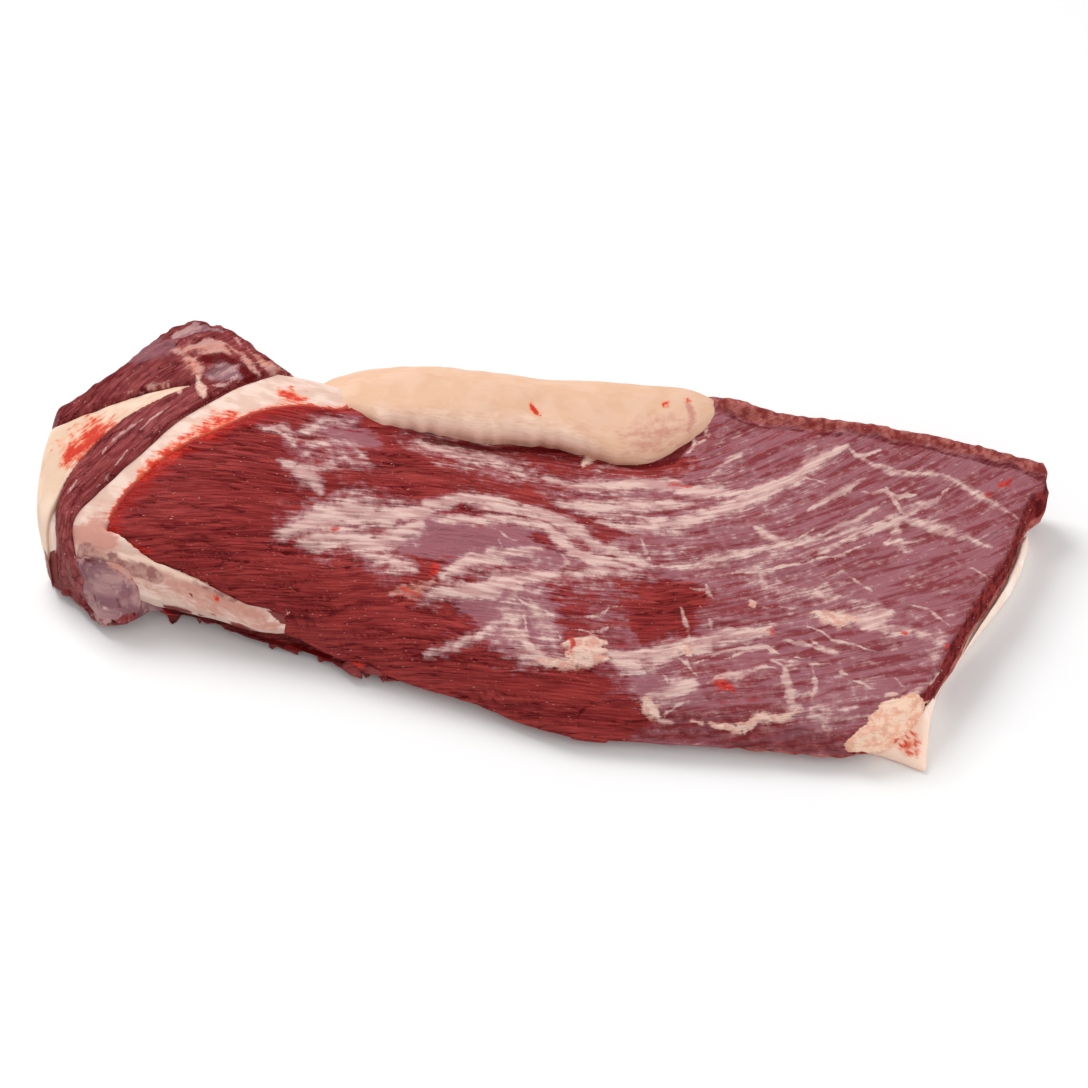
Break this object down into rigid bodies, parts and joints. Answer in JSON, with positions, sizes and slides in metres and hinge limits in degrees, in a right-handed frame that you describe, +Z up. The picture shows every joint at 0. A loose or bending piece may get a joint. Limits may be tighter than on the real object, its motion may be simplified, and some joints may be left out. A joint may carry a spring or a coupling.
{
  "type": "whole beef brisket",
  "caption": "Whole raw beef brisket lying lean side up, with two muscles parted by a fat seam, a fat cap underneath and a roll of fat along the rear edge.",
  "frame": {"origin": "on the table, under the middle of the meat's bounding box", "axes": "+X from the thick point end to the thin cut end of the flat, +Y to the rear edge with the roll of fat, +Z up"},
  "size_m": [0.5445, 0.257, 0.0939],
  "materials": {
    "lean": "satin",
    "fat": "satin"
  },
  "bodies": {
    "root": {"flat_muscle": "lean", "point_muscle": "lean", "seam_fat": "fat", "fat_cap": "fat", "rear_fat_roll": "fat"}
  },
  "joints": []
}
